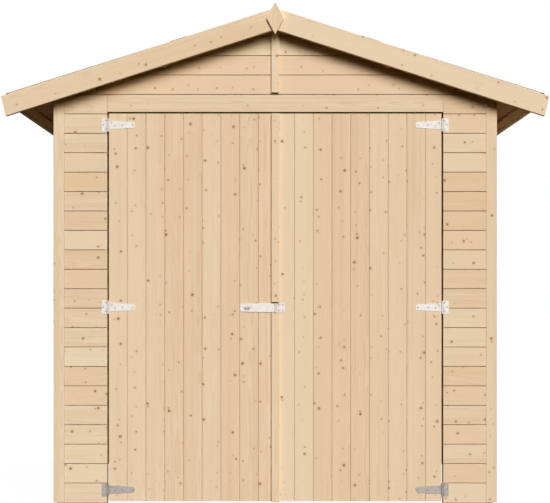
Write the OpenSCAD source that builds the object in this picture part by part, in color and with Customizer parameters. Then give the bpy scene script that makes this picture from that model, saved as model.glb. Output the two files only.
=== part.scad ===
// Timber garage: framed walls under horizontal shiplap boards, a low gable roof on purlins,
// and a pair of ledged and braced doors on T-hinges, closed by a hasp.
// The origin is on the ground in the middle of the outline. The doors face -Y.

/* [Walls] */
// Width over the wall boards
body_w = 1972; // [1640:2:2500]
// Depth over the wall boards
body_d = 3000; // [2000:10:4800]
// Height of the side walls, from the ground to the roof boards
wall_h = 1898; // [1600:1:2400]
// Thickness of the wall and door boards
board_t = 16; // [12:1:28]
// Height that one wall board covers
board_cover = 88; // [70:1:140]
// Height of the sole rails' lip that the wall boards stand on
sole_show = 8; // [5:1:40]
// Width of the corner boards
trim_w = 49; // [35:1:90]
// Thickness of the corner boards on the side walls
trim_t = 18; // [10:1:25]
// Thickness of the gables' middle battens, of the diamonds and of the strip between the doors
lath_t = 20; // [12:1:25]
// Set-out of the end walls' corner boards, which stand between the wall boards and the corner
trim_set = 3; // [0:0.5:10]

/* [Framing] */
// Side of the square studs and rails
stud = 45; // [40:1:70]
// Largest distance between two studs
stud_pitch = 600; // [400:10:900]
// Height of the rail over the doorway
head_h = 70; // [45:1:140]

/* [Roof] */
// Pitch of the roof
roof_pitch = 17.83; // [10:0.01:30]
// Thickness of the roof boards
deck_t = 16; // [12:1:25]
// Distance from the side walls to the outer face of the eaves boards
eave_out = 223; // [100:1:300]
// Distance from the end walls to the outer face of the barge boards
gable_out = 100; // [80:1:400]
// Depth of the purlins at their lower edge, below the roof boards
purlin_h = 66; // [45:1:100]
// Distance from the middle of the roof to the inner face of a side purlin
purlin_x = 495; // [300:1:700]
// Width of the laths under the lower ends of the roof boards
eave_lath_w = 34; // [20:1:60]
// Thickness of these laths
eave_lath_t = 10; // [6:1:30]
// Thickness of the eaves boards
eave_t = 18; // [12:1:28]
// Height of the eaves boards at their outer face
eave_h = 36; // [28:1:90]
// Thickness of the felt
felt_t = 3; // [2:0.5:6]
// Height of the felt turned down over the eaves boards
felt_drop = 25; // [15:1:26]
// Width of the felt strip over each side of the ridge
ridge_strip_w = 150; // [80:5:250]

/* [Gable trim] */
// Width of the barge boards
barge_w = 91; // [70:1:150]
// Thickness of the barge boards
barge_t = 18; // [12:1:28]
// Length of the barge boards beyond the eaves boards
barge_run = 21.5; // [10:0.5:90]
// Set-back of the barge board's end at its lower edge
barge_cut = 21; // [0:1:60]
// Thickness of the verge battens behind the barge boards
verge_t = 28; // [18:1:45]
// Width of the diamond at the gable's point
finial_w = 77; // [50:1:140]
// Height of the diamond
finial_h = 147; // [90:1:240]
// Height from the diamond's top to its widest place
finial_shoulder = 74; // [40:1:120]
// Height of the diamond's top above the barge boards
finial_up = 26; // [0:1:60]
// Width of the battens down the middle of the gables
batten_w = 34; // [20:1:60]
// Gap below a gable batten, above the seam that it ends at
batten_up = 6.5; // [0:0.5:40]

/* [Doorway] */
// Width of the front wall beside the doorway
jamb_w = 225.5; // [160:0.5:400]
// Drop from the wall's top to the head of the doorway
head_drop = 122; // [100:1:300]
// Gap between a door and the wall beside it
side_gap = 7.5; // [5:0.5:12]
// Gap between the two doors
mid_gap = 6; // [5:0.5:12]
// Gap above the doors
head_gap = 8; // [5:0.5:15]
// Gap below the doors
floor_gap = 13; // [8:1:40]
// Lap of the doors' top ledges over the stop lath at the doorway's head
stop_lap = 10; // [5:1:30]

/* [Doors] */
// Height of the ledges
ledge_h = 95; // [70:1:140]
// Thickness of the ledges and braces
ledge_t = 28; // [20:1:34]
// Distance from a door's top or bottom edge to the ledge
ledge_inset = 14; // [13:1:60]
// Distance from the doorway's side to the ledges
ledge_gap = 15; // [9:1:30]
// Distance from a door's free edge to the ledges
ledge_set = 20; // [10:1:60]
// Width of a brace where it meets a ledge
brace_foot = 100; // [60:1:140]
// Width of the strip that covers the gap between the doors
strip_w = 34.5; // [26:0.5:60]
// Lap of the cover strip over the left door
strip_lap = 13.5; // [6:0.5:20]
// Running gap between the cover strip and the left door
strip_clear = 1; // [0.5:0.5:3]
// Length of the cover strip below the doors
strip_drop = 4; // [0:1:7]

/* [Hinges] */
// Length of a strap from the pin
strap_len = 121.5; // [80:0.5:300]
// Width of a strap at its knuckle
strap_root = 39; // [30:1:44]
// Width of a strap at its tip
strap_tip = 27; // [16:1:28]
// Height of a wall plate
plate_h = 60; // [56:1:80]
// Width of a wall plate from the pin
plate_w = 29; // [24:1:40]
// Thickness of the hinge metal
hinge_t = 2; // [1.5:0.5:3]
// Radius of the knuckles
knuckle_r = 4.8; // [4.4:0.1:7]
// Radius of the hinge pins
pin_r = 2.5; // [2:0.1:3]
// Gap around and between what turns on a pin
pin_gap = 0.06; // [0.03:0.01:0.1]
// Gap between two knuckles
knuckle_gap = 0.5; // [0.3:0.1:1]
// Distance from a door's top or bottom edge to a hinge's middle
hinge_inset = 52; // [40:1:200]

/* [Hasp] */
// Distance of the hasp below the middle of the doors
hasp_low = 1.5; // [0:0.5:300]
// Distance from the middle of the doorway to the hasp's pin
hasp_pin_x = 1; // [-2:0.5:3]
// Width of the fixed plate from the pin
hasp_plate_w = 42; // [34:1:70]
// Height of the fixed plate
hasp_plate_h = 43; // [38:1:60]
// Length of the arm from the pin
arm_len = 159.5; // [150:0.5:220]
// Height of the arm at the pin
arm_h = 41; // [34:1:41]
// Height of the arm's free end
arm_tip_h = 37; // [28:1:41]
// Radius at the corners of the arm's free end
arm_corner = 8; // [2:1:14]
// Distance from the pin to the middle of the slot
slot_x = 127.5; // [100:0.5:132]
// Length of the slot
slot_len = 37; // [35:1:44]
// Height of the slot
slot_h = 7; // [5:0.5:9]
// Width of the staple's eye
eye_w = 24; // [18:1:24]
// Thickness of the staple's eye
eye_t = 3; // [2:0.5:4]
// Height of the staple's eye over its base
eye_out = 24; // [20:1:30]
// Radius of the hole for the padlock
eye_r = 5.5; // [4:0.5:6]
// Gap between the hasp and the ends of the cover strip
hasp_clear = 4; // [4:1:12]

/* [Hidden] */
$fn = 48;

timber = [0.89, 0.79, 0.66];
trim_timber = [0.90, 0.80, 0.68];
frame_timber = [0.85, 0.74, 0.58];
felt_dark = [0.25, 0.25, 0.26];
zinc = [0.90, 0.89, 0.88];

// Gap where a bevelled piece bears on another, and beside the purlins in their notches
bevel_gap = 0.05;
notch_gap = 0.3;
// Gap in the mitres where two boards meet under the diamond
mitre_gap = 0.6;

half_w = body_w / 2;
half_d = body_d / 2;
frame_x = half_w - board_t;
frame_y = half_d - board_t;
inner_x = frame_x - stud;
inner_y = frame_y - stud;
// The end walls' boards run between the inner edges of their corner boards
corner_x = half_w + trim_t;
trim_x = corner_x - trim_w;

apex_z = wall_h + half_w * tan(roof_pitch);
deck_v = deck_t / cos(roof_pitch);
felt_v = felt_t / cos(roof_pitch);
felt_v0 = deck_v + bevel_gap;
roof_top_v = felt_v0 + felt_v;
verge_y = half_d + gable_out - barge_t;
purlin_y = verge_y - verge_t;
eave_x = half_w + eave_out;
deck_x = eave_x - eave_t;

open_x = half_w - jamb_w;
open_z = wall_h - head_drop;
leaf_x0 = mid_gap / 2;
leaf_x1 = open_x - side_gap;
leaf_z0 = floor_gap;
leaf_z1 = open_z - head_gap;
leaf_mid_z = (leaf_z0 + leaf_z1) / 2;
plate_z = open_z + head_h;
// Lower edge of the lath that the doors' top ledges close against, and their gap to it
stop_z = leaf_z1 - ledge_inset - stop_lap;
stop_gap = 5;
// Underside of the side walls' plates, which carry the roof boards
side_plate_z = roof_z(frame_x) - stud;
// The doorway's head lies behind one board of the wall, cut down to the opening.
header_min = 40;
header_z = sole_show + board_cover * ceil((open_z + header_min - sole_show) / board_cover);

// Heights of the middles of a door's ledges and of its hinges, from bottom to top
ledge_zs = [
    leaf_z0 + ledge_inset + ledge_h / 2,
    leaf_mid_z,
    leaf_z1 - ledge_inset - ledge_h / 2
];
hinge_zs = [leaf_z0 + hinge_inset, leaf_mid_z, leaf_z1 - hinge_inset];
ledge_x0 = leaf_x0 + ledge_set;
ledge_x1 = open_x - ledge_gap;

pin_x = (leaf_x1 + open_x) / 2;
pin_y = -half_d - knuckle_r;
hasp_z = leaf_mid_z - hasp_low;
hasp_knuckle_r = 4;
hasp_pin_r = 2;
hasp_seat = 0.3;
arm_seat = 0.5;
hasp_pin_y = -half_d - hasp_knuckle_r - hasp_seat;
// Half height of the knuckle in the middle of the hasp, which turns with the arm
arm_knuckle = 11;
strip_notch = max(arm_h, hasp_plate_h) / 2 + hasp_clear;
// Lap of the staple's base beyond the slot, at its ends and above and below it
staple_lap_x = 2;
staple_lap_z = 9;

// Underside of the roof boards at a distance x from the middle of the roof
function roof_z(x) = apex_z - abs(x) * tan(roof_pitch);
// Top of a piece that carries the roof boards there
function bearer_z(x) = roof_z(x) - bevel_gap;
function spread(from, to, pitch) =
    let (n = ceil((to - from) / pitch))
    [for (i = [0:n]) from + (to - from) * i / n];

module both_sides() {
    children();
    mirror([1, 0, 0]) children();
}

module both_ends() {
    children();
    mirror([0, 1, 0]) children();
}

// An outline drawn in X and Z, run from y0 to y1
module run_y(y0, y1) {
    translate([0, y1, 0]) rotate([90, 0, 0]) linear_extrude(y1 - y0) children();
}

module both_heights() {
    children();
    mirror([0, 0, 1]) children();
}

// A box given by its two corners
module bar(low, high) {
    translate(low) cube(high - low);
}

// The wall between x0 and x1 from the height z0 up to the roof boards
module under_roof(x0, x1, z0) {
    polygon([[x0, z0], [x1, z0], [x1, bearer_z(x1)], [x0, bearer_z(x0)]]);
}

// A layer of the roof's right half between x0 and x1, from v0 to v1 above the underside
// of the roof boards
module roof_layer(x0, x1, v0, v1) {
    polygon([
        [x0, roof_z(x0) + v0], [x1, roof_z(x1) + v0],
        [x1, roof_z(x1) + v1], [x0, roof_z(x0) + v1]
    ]);
}

module right_front_panel() {
    color(timber) bar([open_x, -half_d, sole_show], [trim_x, -frame_y, header_z]);
}

module front_right_cladding() {
    right_front_panel();
}

module front_left_cladding() {
    mirror([1, 0, 0]) right_front_panel();
}

module front_header_board() {
    color(timber) bar([-open_x, -half_d, open_z], [open_x, -frame_y, header_z]);
}

// Outline of a side purlin, its top bevelled to the roof, grown by a gap
module purlin_outline(gap = 0) {
    x0 = purlin_x - gap;
    x1 = purlin_x + stud + gap;
    z0 = roof_z(purlin_x + stud) - purlin_h - gap;
    polygon([[x0, z0], [x1, z0], [x1, bearer_z(x1) + gap], [x0, bearer_z(x0) + gap]]);
}

// Outline of the ridge purlin, grown by a gap
module ridge_outline(gap = 0) {
    x1 = stud / 2 + gap;
    z0 = roof_z(stud / 2) - purlin_h - gap;
    polygon([
        [-x1, z0], [x1, z0], [x1, bearer_z(x1) + gap],
        [0, bearer_z(0) + gap], [-x1, bearer_z(x1) + gap]
    ]);
}

// Boards of the front gable, from the header's seam up, notched over the purlins
module gable_boards() {
    color(timber) run_y(-half_d, -frame_y) difference() {
        polygon([
            [-trim_x, header_z], [trim_x, header_z], [trim_x, bearer_z(trim_x)],
            [0, bearer_z(0)], [-trim_x, bearer_z(trim_x)]
        ]);
        both_sides() purlin_outline(notch_gap);
        ridge_outline(notch_gap);
    }
}

module front_gable_cladding() {
    gable_boards();
}

module back_gable_cladding() {
    mirror([0, 1, 0]) gable_boards();
}

module back_wall_cladding() {
    color(timber) bar([-trim_x, frame_y, sole_show], [trim_x, half_d, header_z]);
}

module right_side_boards() {
    color(timber) run_y(-frame_y, frame_y) under_roof(frame_x, half_w, sole_show);
}

module right_wall_cladding() {
    right_side_boards();
}

module left_wall_cladding() {
    mirror([1, 0, 0]) right_side_boards();
}

// An upright stud of an end wall, its outer side at x1
module end_stud(x1) {
    bar([x1 - stud, -frame_y, stud], [x1, -inner_y, open_z]);
}

module front_wall_studs() {
    color(frame_timber) both_sides() {
        end_stud(frame_x);
        end_stud(open_x + stud);
    }
}

// Sole rails beside the doorway, with a lip under the wall boards, and the rail over it
// with the lath that stops the doors
module front_wall_rails() {
    color(frame_timber) {
        both_sides() {
            bar([open_x, -frame_y, 0], [frame_x, -inner_y, stud]);
            bar([open_x, -half_d, 0], [half_w, -inner_y, sole_show]);
        }
        bar([-frame_x, -frame_y, open_z], [frame_x, -inner_y, plate_z]);
        bar([-open_x, ledge_t + stop_gap - frame_y, stop_z], [open_x, -inner_y, open_z]);
    }
}

module back_wall_studs() {
    color(frame_timber) mirror([0, 1, 0])
        for (x = spread(stud - frame_x, frame_x, stud_pitch)) end_stud(x);
}

module back_wall_rails() {
    color(frame_timber) {
        bar([-frame_x, inner_y, 0], [frame_x, frame_y, stud]);
        bar([-half_w, inner_y, 0], [half_w, half_d, sole_show]);
        bar([-frame_x, inner_y, open_z], [frame_x, frame_y, plate_z]);
    }
}

module side_wall_studs() {
    color(frame_timber) both_sides()
        for (y = spread(-inner_y, inner_y - stud, stud_pitch))
            bar([inner_x, y, stud], [frame_x, y + stud, side_plate_z]);
}

// Sole rail and wall plate of each side, the plate's top bevelled to the roof
module side_wall_rails() {
    color(frame_timber) both_sides() {
        bar([inner_x, -inner_y, 0], [frame_x, inner_y, stud]);
        bar([inner_x, -inner_y, 0], [half_w, inner_y, sole_show]);
        run_y(-inner_y, inner_y) under_roof(inner_x, frame_x, side_plate_z);
    }
}

// Rafters between the purlins and an upright under the ridge, behind each gable's boards
module gable_frames() {
    x1 = stud / 2 + notch_gap;
    x2 = purlin_x - notch_gap;
    x3 = purlin_x + stud + notch_gap;
    ridge_z = roof_z(stud / 2) - purlin_h - bevel_gap;
    color(frame_timber) both_ends() {
        both_sides() {
            run_y(-frame_y, -inner_y) rafter_outline(x1, x2);
            run_y(-frame_y, -inner_y) rafter_outline(x3, frame_x);
        }
        bar([-stud / 2, -frame_y, plate_z], [stud / 2, -inner_y, ridge_z]);
    }
}

module rafter_outline(x0, x1) {
    deep = stud / cos(roof_pitch);
    polygon([
        [x0, bearer_z(x0) - deep], [x1, bearer_z(x1) - deep],
        [x1, bearer_z(x1)], [x0, bearer_z(x0)]
    ]);
}

// Two boards at the corners of an end wall, nailed to its outer studs, up to the roof
module end_trims() {
    color(trim_timber) both_sides()
        run_y(-half_d - trim_set, -frame_y) under_roof(trim_x, corner_x, sole_show);
}

module front_corner_trims() {
    end_trims();
}

module back_corner_trims() {
    mirror([0, 1, 0]) end_trims();
}

module side_corner_trims() {
    color(trim_timber) both_sides() both_ends()
        run_y(-frame_y, -frame_y + trim_w) under_roof(half_w, corner_x, sole_show);
}

module gable_battens() {
    top_z = roof_z(stud / 2) - purlin_h - bevel_gap;
    color(trim_timber) both_ends()
        bar([-batten_w / 2, -half_d - lath_t, header_z + batten_up], [batten_w / 2, -half_d, top_z]);
}

// The purlins run out over both gables to the verge battens
module purlins() {
    color(frame_timber) {
        run_y(-purlin_y, purlin_y) ridge_outline();
        both_sides() run_y(-purlin_y, purlin_y) purlin_outline();
    }
}

module right_deck() {
    color(timber) run_y(-verge_y, verge_y) roof_layer(0, deck_x, 0, deck_v);
}

module right_roof_boards() {
    right_deck();
}

module left_roof_boards() {
    mirror([1, 0, 0]) right_deck();
}

// Laths under the lower ends of the roof boards
module eave_laths() {
    deep = eave_lath_t / cos(roof_pitch);
    color(frame_timber) both_sides()
        run_y(-purlin_y, purlin_y) roof_layer(deck_x - eave_lath_w, deck_x, -deep, -bevel_gap);
}

module eave_trims() {
    top_z = roof_z(eave_x) + deck_v;
    color(trim_timber) both_sides() run_y(-verge_y, verge_y) polygon([
        [deck_x, top_z - eave_h], [eave_x, top_z - eave_h],
        [eave_x, top_z], [deck_x, roof_z(deck_x) + deck_v]
    ]);
}

// Felt on one side of the roof, turned down over the eaves board
module right_felt() {
    edge_z = roof_z(eave_x) + deck_v;
    color(felt_dark) run_y(-verge_y, verge_y) {
        roof_layer(0, eave_x, felt_v0, roof_top_v);
        polygon([
            [eave_x, edge_z - felt_drop], [eave_x + felt_t, edge_z - felt_drop],
            [eave_x + felt_t, roof_z(eave_x + felt_t) + roof_top_v], [eave_x, roof_z(eave_x) + roof_top_v]
        ]);
    }
}

module right_roof_felt() {
    right_felt();
}

module left_roof_felt() {
    mirror([1, 0, 0]) right_felt();
}

// A strip of felt folded over the ridge
module ridge_felt() {
    x1 = ridge_strip_w;
    v0 = roof_top_v + bevel_gap;
    v1 = v0 + felt_v;
    color(felt_dark) run_y(-verge_y, verge_y) polygon([
        [-x1, roof_z(x1) + v0], [0, apex_z + v0], [x1, roof_z(x1) + v0],
        [x1, roof_z(x1) + v1], [0, apex_z + v1], [-x1, roof_z(x1) + v1]
    ]);
}

// A pair of barge boards over the roof's end, mitred at the point and cut back at the eaves
module barge_pair() {
    x0 = mitre_gap / 2;
    x1 = eave_x + barge_run;
    x2 = x1 - barge_cut;
    low_v = roof_top_v - barge_w / cos(roof_pitch);
    color(trim_timber) both_sides() run_y(-verge_y - barge_t, -verge_y) polygon([
        [x0, roof_z(x0) + low_v], [x2, roof_z(x2) + low_v],
        [x1, roof_z(x1) + roof_top_v], [x0, roof_z(x0) + roof_top_v]
    ]);
}

module front_barge_boards() {
    barge_pair();
}

module back_barge_boards() {
    mirror([0, 1, 0]) barge_pair();
}

// Battens behind the barge boards, as low as these. They lie under the roof boards and run
// on below the eaves boards.
module verge_battens() {
    low_v = roof_top_v - barge_w / cos(roof_pitch);
    tail_x = eave_x + barge_run - barge_cut;
    tail_z = roof_z(eave_x) + deck_v - eave_h - bevel_gap;
    color(frame_timber) both_ends() both_sides() run_y(-verge_y, -purlin_y) {
        roof_layer(mitre_gap / 2, deck_x, low_v, -bevel_gap);
        polygon([
            [deck_x - verge_t, roof_z(deck_x - verge_t) + low_v], [tail_x, roof_z(tail_x) + low_v],
            [tail_x, tail_z], [deck_x - verge_t, tail_z]
        ]);
    }
}

// A diamond nailed over the mitre of each pair of barge boards
module finials() {
    top_z = apex_z + roof_top_v + finial_up;
    color(trim_timber) both_ends() run_y(-verge_y - barge_t - lath_t, -verge_y - barge_t) polygon([
        [0, top_z], [-finial_w / 2, top_z - finial_shoulder],
        [0, top_z - finial_h], [finial_w / 2, top_z - finial_shoulder]
    ]);
}

module right_leaf_boards() {
    color(timber) bar([leaf_x0, -half_d, leaf_z0], [leaf_x1, -frame_y, leaf_z1]);
}

// Three ledges across the back of a door
module right_leaf_ledges() {
    color(frame_timber) for (z = ledge_zs)
        bar([ledge_x0, -frame_y, z - ledge_h / 2], [ledge_x1, ledge_t - frame_y, z + ledge_h / 2]);
}

// Two braces, each rising from the hinge side to the free side between two ledges
module right_leaf_braces() {
    color(frame_timber) for (i = [0:1]) {
        z0 = ledge_zs[i] + ledge_h / 2;
        z1 = ledge_zs[i + 1] - ledge_h / 2;
        run_y(-frame_y, ledge_t - frame_y) polygon([
            [ledge_x1 - brace_foot, z0], [ledge_x1, z0],
            [ledge_x0 + brace_foot, z1], [ledge_x0, z1]
        ]);
    }
}

// A cylinder on a hinge's pin from z0 to z1
module pin_rod(radius, z0, z1) {
    translate([0, 0, z0]) cylinder(r = radius, h = z1 - z0);
}

// Wall plate of a hinge, with its two knuckles and the pin. The pin is on the Z axis
// and the wall's face is at y = knuckle_r.
module wall_plate() {
    knuckle_z = strap_root / 2 + knuckle_gap;
    end_z = plate_h / 2;
    difference() {
        bar([0, knuckle_r - hinge_t, -end_z], [plate_w, knuckle_r, end_z]);
        bar([-1, 0, -knuckle_z], [knuckle_r + knuckle_gap, knuckle_r + 1, knuckle_z]);
    }
    both_heights() pin_rod(knuckle_r, knuckle_z, end_z);
    pin_rod(pin_r, -end_z, end_z);
}

// Strap of a hinge with its bored knuckle, tapered to a round tip
module strap() {
    tip_r = strap_tip / 2;
    difference() {
        union() {
            translate([0, knuckle_r, 0]) rotate([90, 0, 0]) linear_extrude(hinge_t) {
                polygon([
                    [0, -strap_root / 2], [0, strap_root / 2],
                    [tip_r - strap_len, tip_r], [tip_r - strap_len, -tip_r]
                ]);
                translate([tip_r - strap_len, 0]) circle(tip_r);
            }
            pin_rod(knuckle_r, -strap_root / 2, strap_root / 2);
        }
        pin_rod(pin_r + pin_gap, -plate_h, plate_h);
    }
}

// The three hinges of the right door, and of the left one: each is the same hinge turned over
module at_right_hinges() {
    for (z = hinge_zs) translate([pin_x, pin_y, z]) children();
}

module at_left_hinges() {
    for (z = hinge_zs) translate([-pin_x, pin_y, z]) rotate([0, 180, 0]) children();
}

module right_hinge_plates() {
    color(zinc) at_right_hinges() wall_plate();
}

module left_hinge_plates() {
    color(zinc) at_left_hinges() wall_plate();
}

module right_door_boards() {
    right_leaf_boards();
}

module right_door_ledges() {
    right_leaf_ledges();
}

module right_door_braces() {
    right_leaf_braces();
}

module right_door_straps() {
    color(zinc) at_right_hinges() strap();
}

module left_door_boards() {
    mirror([1, 0, 0]) right_leaf_boards();
}

module left_door_ledges() {
    mirror([1, 0, 0]) right_leaf_ledges();
}

module left_door_braces() {
    mirror([1, 0, 0]) right_leaf_braces();
}

module left_door_straps() {
    color(zinc) at_left_hinges() strap();
}

// Strip nailed to the right door, rebated where it laps the left one. It stops short
// above and below the hasp.
module door_cover_strip() {
    x0 = -leaf_x0 - strip_lap;
    x1 = x0 + strip_w;
    y0 = -half_d - lath_t;
    module profile() {
        polygon([
            [x0, y0], [x1, y0], [x1, -half_d], [leaf_x0, -half_d],
            [leaf_x0, -half_d - strip_clear], [x0, -half_d - strip_clear]
        ]);
    }
    color(trim_timber) {
        translate([0, 0, leaf_z0 - strip_drop])
            linear_extrude(hasp_z - strip_notch - leaf_z0 + strip_drop) profile();
        translate([0, 0, hasp_z + strip_notch])
            linear_extrude(leaf_z1 - hasp_z - strip_notch) profile();
    }
}

// Fixed plate of the hasp with its outer knuckles and the pin, which the arm turns on
module hasp_plate() {
    knuckle_z = arm_knuckle + knuckle_gap;
    end_z = hasp_plate_h / 2;
    back_y = hasp_knuckle_r + hasp_seat;
    color(zinc) translate([hasp_pin_x, hasp_pin_y, hasp_z]) {
        difference() {
            bar([leaf_x0 - hasp_pin_x, back_y - hinge_t, -end_z], [hasp_plate_w, back_y, end_z]);
            bar([-1, 0, -knuckle_z], [hasp_knuckle_r + 2 * knuckle_gap, back_y + 1, knuckle_z]);
        }
        both_heights() pin_rod(hasp_knuckle_r, knuckle_z, end_z);
        pin_rod(hasp_pin_r, -end_z, end_z);
    }
}

// The staple on the left door: a base plate and an eye that passes through the arm's slot
module hasp_staple() {
    base_w = slot_len + 2 * staple_lap_x;
    base_h = slot_h + 2 * staple_lap_z;
    tip_r = eye_w / 2;
    color(zinc) translate([hasp_pin_x - slot_x, -half_d, hasp_z]) {
        bar([-base_w / 2, -hinge_t, -base_h / 2], [base_w / 2, 0, base_h / 2]);
        translate([0, tip_r - hinge_t - eye_out, -eye_t / 2]) difference() {
            union() {
                cylinder(r = tip_r, h = eye_t);
                bar([-tip_r, 0, 0], [tip_r, eye_out - tip_r + hinge_t / 2, eye_t]);
            }
            translate([0, 0, -1]) cylinder(r = eye_r, h = eye_t + 2);
        }
    }
}

// Arm of the hasp: a plate that narrows to a rounded end with a slot, on the bored middle knuckle
module hasp_arm() {
    arm_y = hasp_knuckle_r + hasp_seat - hinge_t - arm_seat;
    root_x = hasp_knuckle_r + knuckle_gap;
    round_x = arm_corner - arm_len;
    round_y = arm_tip_h / 2 - arm_corner;
    color(zinc) translate([hasp_pin_x, hasp_pin_y, hasp_z]) difference() {
        union() {
            translate([0, arm_y, 0]) rotate([90, 0, 0]) linear_extrude(hinge_t) difference() {
                union() {
                    polygon([
                        [-root_x, -arm_h / 2], [-root_x, arm_h / 2],
                        [round_x, arm_tip_h / 2], [-arm_len, round_y],
                        [-arm_len, -round_y], [round_x, -arm_tip_h / 2]
                    ]);
                    for (side = [-1, 1]) translate([round_x, side * round_y]) circle(arm_corner);
                    translate([-root_x, -arm_knuckle]) square([root_x, 2 * arm_knuckle]);
                }
                translate([-slot_x, 0]) square([slot_len, slot_h], center = true);
            }
            pin_rod(hasp_knuckle_r, -arm_knuckle, arm_knuckle);
        }
        pin_rod(hasp_pin_r + pin_gap, -hasp_plate_h, hasp_plate_h);
    }
}

front_left_cladding();
front_right_cladding();
front_header_board();
front_gable_cladding();
front_wall_studs();
front_wall_rails();
front_corner_trims();
side_corner_trims();
back_corner_trims();
left_wall_cladding();
right_wall_cladding();
side_wall_studs();
side_wall_rails();
back_wall_cladding();
back_gable_cladding();
back_wall_studs();
back_wall_rails();
gable_frames();
gable_battens();
purlins();
left_roof_boards();
right_roof_boards();
eave_laths();
eave_trims();
left_roof_felt();
right_roof_felt();
ridge_felt();
front_barge_boards();
back_barge_boards();
verge_battens();
finials();
left_hinge_plates();
right_hinge_plates();
right_door_boards();
right_door_ledges();
right_door_braces();
right_door_straps();
door_cover_strip();
hasp_plate();
left_door_boards();
left_door_ledges();
left_door_braces();
left_door_straps();
hasp_staple();
hasp_arm();
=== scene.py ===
import math
import random

import bmesh
import bpy
from mathutils import Matrix, Vector


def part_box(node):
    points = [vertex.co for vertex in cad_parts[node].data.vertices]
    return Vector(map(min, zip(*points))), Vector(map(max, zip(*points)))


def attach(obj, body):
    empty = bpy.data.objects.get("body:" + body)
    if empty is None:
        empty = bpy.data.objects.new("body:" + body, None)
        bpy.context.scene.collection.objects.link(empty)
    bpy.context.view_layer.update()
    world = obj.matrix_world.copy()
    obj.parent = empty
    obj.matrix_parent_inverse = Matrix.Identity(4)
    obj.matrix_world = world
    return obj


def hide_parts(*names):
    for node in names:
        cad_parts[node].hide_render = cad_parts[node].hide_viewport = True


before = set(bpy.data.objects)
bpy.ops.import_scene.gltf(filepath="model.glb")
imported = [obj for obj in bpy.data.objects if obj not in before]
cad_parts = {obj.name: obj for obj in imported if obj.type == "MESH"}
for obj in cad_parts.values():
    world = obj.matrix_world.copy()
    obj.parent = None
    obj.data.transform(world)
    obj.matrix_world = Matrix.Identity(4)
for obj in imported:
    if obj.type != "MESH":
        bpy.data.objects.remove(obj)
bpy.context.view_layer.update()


# ---- Wall boards -----------------------------------------------------------------------------
# Planed spruce shiplap, 16 mm thick and laid level from the sole rail up. The lip of each board
# laps the tongue of the one below over a deep cove, which leaves a dark line between them.

mm = 0.001


def linear(code):
    """An sRGB hex colour as the linear colour that a shader takes."""
    parts = [int(code[i:i + 2], 16) / 255 for i in (1, 3, 5)]
    return [p / 12.92 if p <= 0.04045 else ((p + 0.055) / 1.055) ** 2.4 for p in parts] + [1.0]


def add_node(tree, kind, settings=None, inputs=None, output=None):
    """Adds a node with its settings, and with a value or a link for each input that is named.
    Gives the node, or the one of its outputs that is asked for."""
    node = tree.nodes.new(kind)
    for name, value in (settings or {}).items():
        setattr(node, name, value)
    for name, value in (inputs or {}).items():
        if isinstance(value, bpy.types.NodeSocket):
            tree.links.new(value, node.inputs[name])
        else:
            node.inputs[name].default_value = value
    return node if output is None else node.outputs[output]


def new_material(name):
    """A material with an empty node tree, and that tree."""
    material = bpy.data.materials.new(name)
    material.use_nodes = True
    material.node_tree.nodes.clear()
    return material, material.node_tree


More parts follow.
